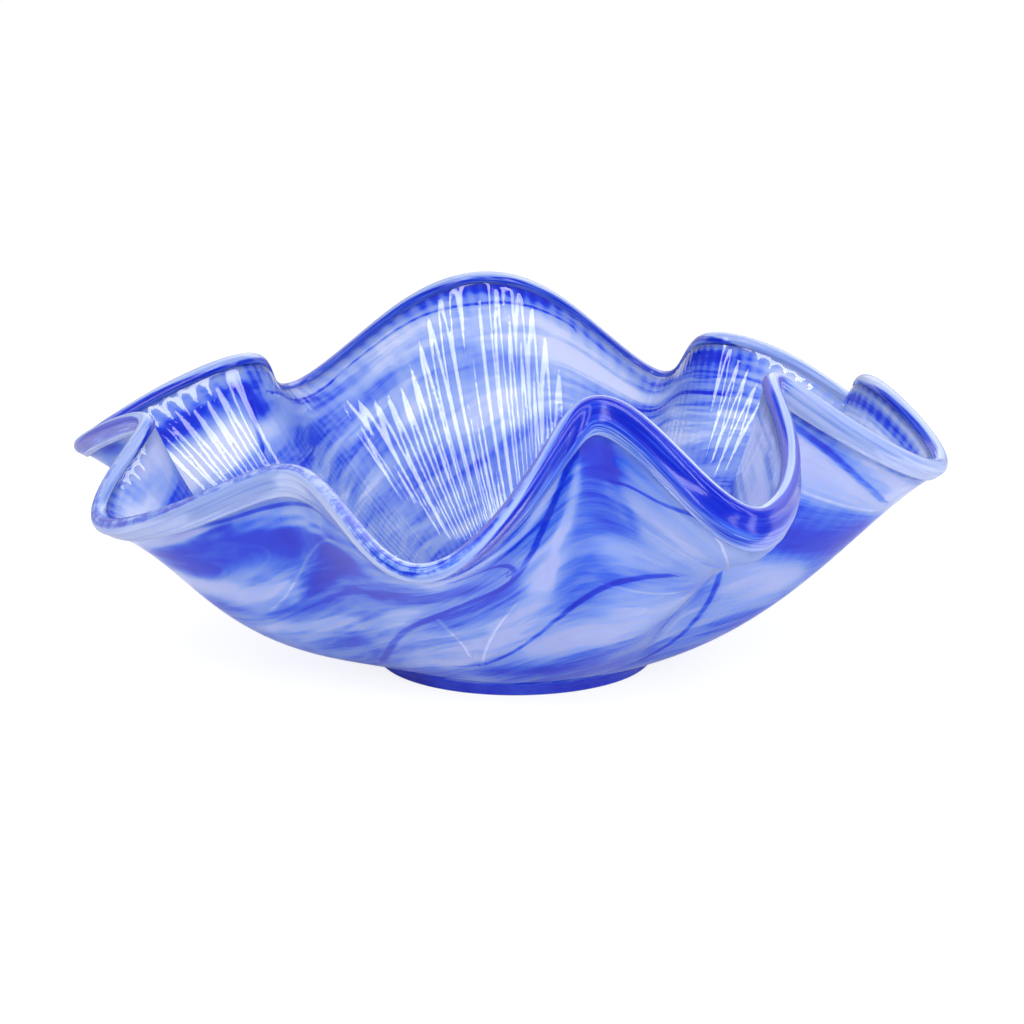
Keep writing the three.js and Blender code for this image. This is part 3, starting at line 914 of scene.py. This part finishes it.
def let_light_through(shader, glass):
    """The same glass, but light on its way to what is inside goes straight through."""
    shadow = shader.light_path("Is Shadow Ray")
    lit = shader.calculate("MAXIMUM", shadow, shader.light_path("Is Diffuse Ray"))
    clear = shader.add("BsdfTransparent", {"Color": CLEAR_TO_LIGHT}).outputs["BSDF"]
    return shader.mix_shaders(lit, glass, clear)


# The colour at each density, from milky glass to full cobalt.
GLASS_COLOURS = [
    (-0.25, (0.74, 0.79, 0.93)),
    (0.0, (0.43, 0.56, 0.84)),
    (0.22, (0.22, 0.37, 0.79)),
    (0.45, (0.055, 0.18, 0.75)),
    (0.68, (0.005, 0.052, 0.69)),
    (0.92, (0.0, 0.018, 0.6)),
]
GLASS_DENSITY = 0.34  # before anything is added to it
STROKE_DENSITY = 0.46  # added by a stroke of strength 1
THREAD_DENSITY = 0.5
VEIL_DENSITY = -0.2
VEIL_OPACITY = 0.7
LINING_MILK = (0.44, 0.46, 0.62, 1)  # the haze over the colour's inner side
CLEAR_IN_COLOUR = (0.80, 0.82, 0.95, 1)  # what shows between the colours where they are thin


def drawn_lines(shader, name):
    """1 on the lines of one table and 0 away from them."""
    half_widths = shader.calculate("ABSOLUTE", shader.attribute(name))
    drawn = shader.between(half_widths, 0.4, 1.5, 1.0, 0.0)
    return shader.times(drawn, shader.attribute(name + "_near"))


def painted_rib_shade_and_light(shader, place):
    """Darker and lighter lines along the lining's ribs: painted shade and light in the colour, so that
    the ribs show.
    """
    axes = shader.axes(place)
    azimuth = shader.calculate("ARCTAN2", axes["Y"], axes["X"])
    angle = shader.total(azimuth, shader.attribute("rib_drift"))
    jitter = shader.between(shader.noise(place, scale=20.0, detail=2.0), 0.3, 0.7, -1.5, 1.5)
    phase = shader.total(shader.times(angle, float(RIBS)), jitter)
    return shader.times(shader.calculate("SINE", phase), shader.attribute("painted_rib_shade_strength"))


def streaks(shader, flow):
    """Broad streaks and finer wisps, drawn out round the bowl."""
    broad = shader.noise(flow, scale=1.3, detail=4.0, distortion=0.8)
    wisps = shader.noise(flow, scale=3.4, detail=4.0, distortion=1.2)
    both = shader.total(
        shader.between(broad, 0.39, 0.61, -0.19, 0.19),
        shader.between(wisps, 0.37, 0.63, -0.12, 0.12),
    )
    return shader.times(both, shader.attribute("streakiness"))


def glass_density(shader, veils):
    """How dense the cobalt is, from everything that is painted and drawn in it."""
    flow = shader.attribute("flow", "Vector")
    place = shader.place()
    fine = shader.noise(flow, scale=11.0, detail=3.0, distortion=0.6)
    cloud = shader.noise(place, scale=14.0, detail=3.0, distortion=0.5)
    return shader.total(
        shader.times(shader.attribute("cobalt"), STROKE_DENSITY),
        GLASS_DENSITY,
        streaks(shader, flow),
        shader.between(fine, 0.35, 0.65, -0.06, 0.06),
        shader.between(cloud, 0.3, 0.7, -0.06, 0.06),
        shader.times(drawn_lines(shader, "thread"), THREAD_DENSITY),
        shader.times(veils, VEIL_DENSITY),
        # Painted shade and light along the ribs.
        painted_rib_shade_and_light(shader, place),
    )


def colour_material():
    """Cobalt and milky glass drawn out into streaks, with thin dark threads and white veils."""
    material, shader = new_material("cobalt_and_white")
    veils = drawn_lines(shader, "veil")
    density = glass_density(shader, veils)
    milk = shader.between(density, 0.35, 0.7, 0.22, 0.0)
    milk = shader.times(milk, shader.attribute("inside"))
    colour = shader.mix_colours(milk, shader.ramp(density, GLASS_COLOURS), LINING_MILK)
    diffuse = shader.add("BsdfDiffuse", {"Color": colour}).outputs["BSDF"]
    translucent = shader.add("BsdfTranslucent", {"Color": colour}).outputs["BSDF"]
    body = shader.mix_shaders(0.5, diffuse, translucent)
    clear = shader.add("BsdfTransparent", {"Color": CLEAR_IN_COLOUR}).outputs["BSDF"]
    opacity = shader.between(density, -0.35, 0.5, 0.42, 0.98)
    opacity = shader.calculate("MAXIMUM", opacity, shader.times(veils, VEIL_OPACITY))
    shader.surface(shader.mix_shaders(opacity, clear, body))
    return material


# The lip's colour at each density, cloudier and darker than the wall's.
LIP_COLOURS = [
    (0.0, (0.27, 0.32, 0.53)),
    (0.22, (0.185, 0.26, 0.52)),
    (0.45, (0.047, 0.115, 0.49)),
    (0.68, (0.009, 0.033, 0.43)),
    (0.92, (0.001, 0.009, 0.34)),
]


def lip_material():
    """Cloudy glass with stripes of cobalt along the rim."""
    material, shader = new_material("striped_lip_glass")
    place = shader.place()
    flow = shader.attribute("flow", "Vector")
    cobalt = shader.attribute("cobalt")
    mottle = shader.noise(flow, scale=1.6, detail=3.0, distortion=0.4)
    lines = shader.noise(flow, scale=5.0, detail=3.0, distortion=0.3)
    lines = shader.between(lines, 0.38, 0.62, -0.2, 0.18)
    specks = shader.between(shader.noise(place, scale=240.0, detail=2.0), 0.35, 0.68, 0.0, 0.4)
    density = shader.total(
        cobalt,
        shader.between(mottle, 0.3, 0.7, -0.13, 0.13),
        shader.times(lines, shader.between(cobalt, 0.2, 0.45, 0.15, 1.0)),
        shader.times(specks, shader.attribute("speckled")),
    )
    cloud = shader.noise(place, scale=35.0, detail=4.0, distortion=0.6)
    waves = shader.noise(place, scale=60.0, detail=3.0)
    glass = shader.glass({
        "Transmission Weight": 0.2,
        "IOR": 1.45,
        "Specular IOR Level": 0.15,
        "Base Color": shader.ramp(density, LIP_COLOURS),
        "Roughness": shader.between(cloud, 0.3, 0.7, 0.12, 0.22),
        "Normal": shader.bump(waves, strength=0.1, distance=0.001),
    })
    shader.surface(glass)
    return material


FOOT_COLOURS = [(0.3, (0.03, 0.07, 0.66)), (0.5, (0.012, 0.03, 0.56)), (0.7, (0.004, 0.01, 0.38))]


def foot_material():
    """Cobalt glass, nearly opaque in this thickness, with a finely ground surface."""
    material, shader = new_material("cobalt_foot_glass")
    place = shader.place()
    cloud = shader.noise(place, scale=22.0, detail=5.0, distortion=1.2)
    grinding = shader.noise(place, scale=400.0, detail=2.0)
    glass = shader.glass({
        "Transmission Weight": 0.25,
        "IOR": 1.5,
        "Base Color": shader.ramp(cloud, FOOT_COLOURS),
        "Roughness": shader.between(cloud, 0.3, 0.7, 0.06, 0.16),
        "Normal": shader.bump(grinding, strength=0.05, distance=0.0005),
    })
    shader.surface(glass)
    return material


def floor_material():
    """A pale floor, lit up for the camera so that only a faint shadow is left on it."""
    material, shader = new_material("studio_floor")
    matt = shader.add("BsdfDiffuse", {"Color": (0.7, 0.7, 0.72, 1)}).outputs["BSDF"]
    glow = shader.add("Emission", {"Color": WHITE, "Strength": 1.2}).outputs["Emission"]
    lit_up = shader.times(shader.light_path("Is Camera Ray"), 0.7)
    shader.surface(shader.mix_shaders(lit_up, matt, glow))
    return material


# ---- The scene, in metres ----

FLOOR_SIDE = 24.0

CAMERA_DISTANCE = 1.35
CAMERA_ELEVATION = 14.0
CAMERA_LENS = 101.0
CAMERA_SENSOR = 36.0
VIEW_CENTRE_UP = 0.0672  # from the foot to the middle of the view, across the line of sight
VIEW_CENTRE_LEFT = 0.0014

LIGHT_TARGET_UP = 0.08  # above the foot
# Soft lights: name, place, width and height, and power in watts.
LIGHTS = [
    ("left strip", (-0.55, -1.35, 1.15), (0.3, 2.0), 26),
    ("right strip", (0.5, -1.45, 1.2), (0.24, 2.0), 19),
    ("low strip", (0.9, -0.95, 0.55), (0.26, 1.0), 9),
    ("back", (0.5, 1.5, 1.3), (2.2, 1.4), 8),
]


def add_piece(piece, material, slot, *nodes):
    piece.data.materials.append(material)
    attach(piece, "root")
    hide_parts(*nodes)


def add_floor(height):
    half = FLOOR_SIDE / 2
    corners = [(-half, -half, 0), (half, -half, 0), (half, half, 0), (-half, half, 0)]
    mesh = bpy.data.meshes.new("floor")
    mesh.from_pydata(corners, [], [(0, 1, 2, 3)])
    mesh.materials.append(floor_material())
    floor = bpy.data.objects.new("floor", mesh)
    bpy.context.collection.objects.link(floor)
    floor.location.z = height


def add_area_light(name, location, size, power, target):
    data = bpy.data.lights.new(name, "AREA")
    data.shape = "RECTANGLE"
    data.size, data.size_y = size
    data.energy = power
    light = bpy.data.objects.new(name, data)
    bpy.context.collection.objects.link(light)
    light.location = location
    aim = target - light.location
    light.rotation_euler = aim.to_track_quat("-Z", "Y").to_euler()


def add_world():
    """White all round for the camera; for the glass, a studio that is bright behind and above."""
    world = bpy.data.worlds.new("studio")
    bpy.context.scene.world = world
    world.use_nodes = True
    shader = Shader(world.node_tree)
    axes = shader.axes(shader.add("TexCoord").outputs["Generated"])
    studio = shader.total(
        shader.between(axes["Y"], -0.6, 0.6, 0.48, 0.68),
        shader.between(axes["Z"], 0.1, 0.9, 0.0, 0.3),
    )
    seen = shader.light_path("Is Camera Ray")
    strength = shader.add("Mix", {"Factor": seen, "A": studio, "B": 1.2}).outputs["Result"]
    shader.fill(world.node_tree.nodes["Background"], {"Color": WHITE, "Strength": strength})


def add_camera(base):
    data = bpy.data.cameras.new("camera")
    data.lens = CAMERA_LENS
    data.sensor_width = CAMERA_SENSOR
    camera = bpy.data.objects.new("camera", data)
    bpy.context.collection.objects.link(camera)
    tilt = math.radians(CAMERA_ELEVATION)
    back = -CAMERA_DISTANCE * math.cos(tilt) + VIEW_CENTRE_UP * math.sin(tilt)
    up = CAMERA_DISTANCE * math.sin(tilt) + VIEW_CENTRE_UP * math.cos(tilt)
    camera.location = (base.x - VIEW_CENTRE_LEFT, base.y + back, base.z + up)
    camera.rotation_euler = (math.pi / 2 - tilt, 0, 0)
    bpy.context.scene.camera = camera


foot_low, foot_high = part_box("foot_disc")
base = (foot_low + foot_high) / 2
base.z = foot_low.z
target = base.copy()
target.z += LIGHT_TARGET_UP

add_camera(base)
add_floor(base.z)
add_world()
for name, location, size, power in LIGHTS:
    add_area_light(name, location, size, power, target)

add_piece(glass_shell(), clear_material(), "clear_glass", "outer_casing", "inner_lining")
add_piece(colour_layer(), colour_material(), "colour_glass", "colour_layer")
add_piece(lip(), lip_material(), "lip_glass", "lip_wrap")
add_piece(foot(), foot_material(), "foot_glass", "foot_disc")

bpy.context.scene.view_settings.view_transform = "Standard"
